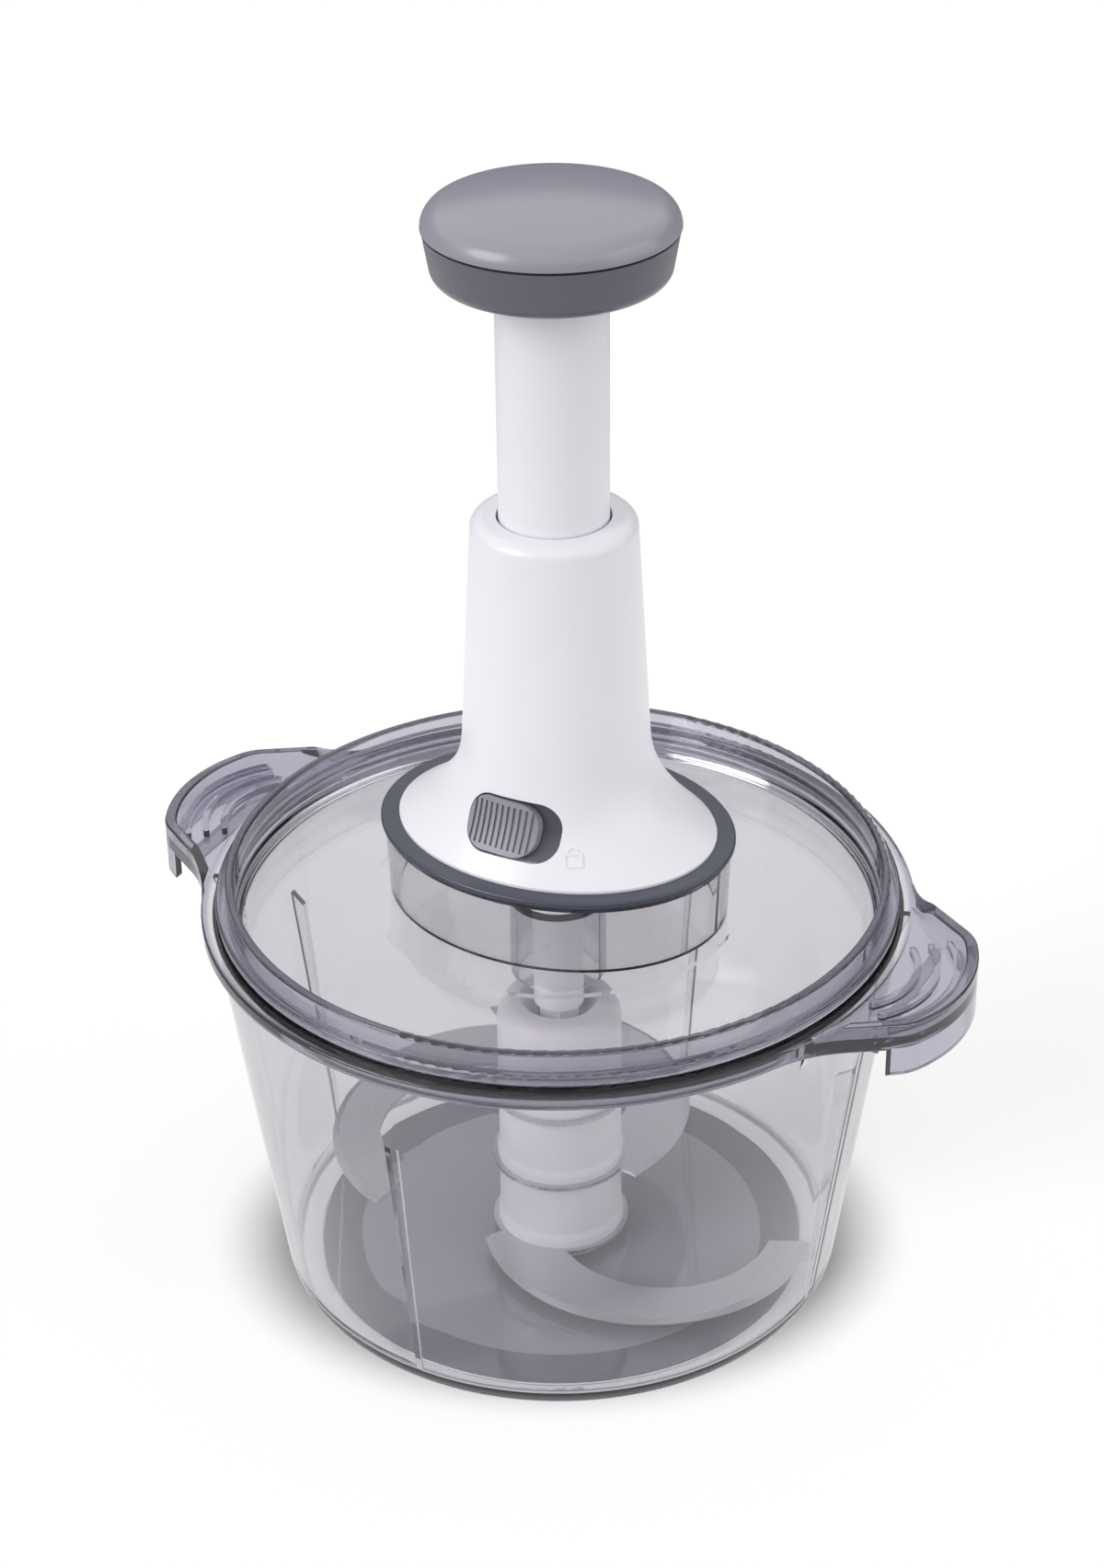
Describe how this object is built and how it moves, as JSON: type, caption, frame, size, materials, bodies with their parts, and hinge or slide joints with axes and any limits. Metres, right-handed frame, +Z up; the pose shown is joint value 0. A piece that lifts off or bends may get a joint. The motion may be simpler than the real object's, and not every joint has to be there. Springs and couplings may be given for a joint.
{
  "type": "hand-press food chopper",
  "caption": "Clear two-handled bowl with sickle blades on a hub, a clear lid and a white press-down plunger with a round grey knob that spins the blades.",
  "frame": {"origin": "centre of the foot, on the table that it stands on", "axes": "+Z up along the plunger, X through the two handles, -Y towards the lock slider"},
  "size_m": [0.216, 0.1764, 0.2871],
  "materials": {
    "smoke_clear": "clear grey-tinted moulded plastic, polished",
    "white_gloss": "white, satin gloss",
    "hub_pale": "milky white, matt",
    "slate_trim": "slate grey, satin",
    "knob_grey": "mid grey, satin",
    "cup_grey": "dark grey, satin",
    "lock_grey": "grey, satin",
    "pad_rubber": "grey, matt",
    "seal_rubber": "pale grey, matt",
    "blade_steel": "fine matt grind",
    "plain_steel": "bright",
    "bearing_white": "white, matt"
  },
  "bodies": {
    "bowl": {"anti_slip_base": "pad_rubber", "bowl": "smoke_clear", "pivot_pin": "plain_steel"},
    "blade_unit": {"hub_core": "hub_pale", "lower_blade": "blade_steel", "middle_blade": "blade_steel", "upper_blade": "blade_steel", "hub_lower": "hub_pale", "hub_middle": "hub_pale", "hub_upper": "hub_pale"},
    "lid": {"lid": "smoke_clear", "lid_seal": "seal_rubber", "collar_ring": "slate_trim", "housing": "white_gloss", "lock_track": "cup_grey", "guide_sleeve": "bearing_white", "base_plate": "slate_trim", "base_screws": "plain_steel", "drive_bearing": "bearing_white", "return_spring": "plain_steel"},
    "plunger": {"plunger_tube": "white_gloss", "drive_plate": "plain_steel", "spring_cup": "bearing_white", "knob_cup": "cup_grey", "knob_cap": "knob_grey", "knob_screw": "plain_steel"},
    "spindle": {"drive_coupling": "white_gloss", "drive_spindle": "plain_steel", "spindle_pin": "plain_steel"},
    "lock": {"lock_slider": "lock_grey", "lock_bar": "lock_grey"}
  },
  "joints": [
    {"name": "lid_lift", "type": "slide", "parent": "bowl", "child": "lid", "axis": [0, 0, 1], "range_m": [0, 0.08]},
    {"name": "plunger_press", "type": "slide", "parent": "lid", "child": "plunger", "axis": [0, 0, -1], "range_m": [0, 0.053], "stiffness_N_per_m": 350, "springref_m": -0.02, "deforming": ["return_spring"]},
    {"name": "spindle_turn", "type": "hinge", "parent": "lid", "child": "spindle", "pos_m": [0, 0, 0.12], "axis": [0, 0, 1], "range_deg": [-530, 0]},
    {"name": "blade_turn", "type": "hinge", "parent": "bowl", "child": "blade_unit", "pos_m": [0, 0, 0.03], "axis": [0, 0, 1], "range_deg": [-530, 0]},
    {"name": "lock_slide", "type": "hinge", "parent": "lid", "child": "lock", "pos_m": [0, 0, 0.1376], "axis": [0, 0, 1], "range_deg": [0, 11]}
  ],
  "couplings": [
    {"joint": "spindle_turn", "follows": "plunger_press", "rad_per_m": -174.53},
    {"joint": "blade_turn", "follows": "plunger_press", "rad_per_m": -174.53}
  ]
}
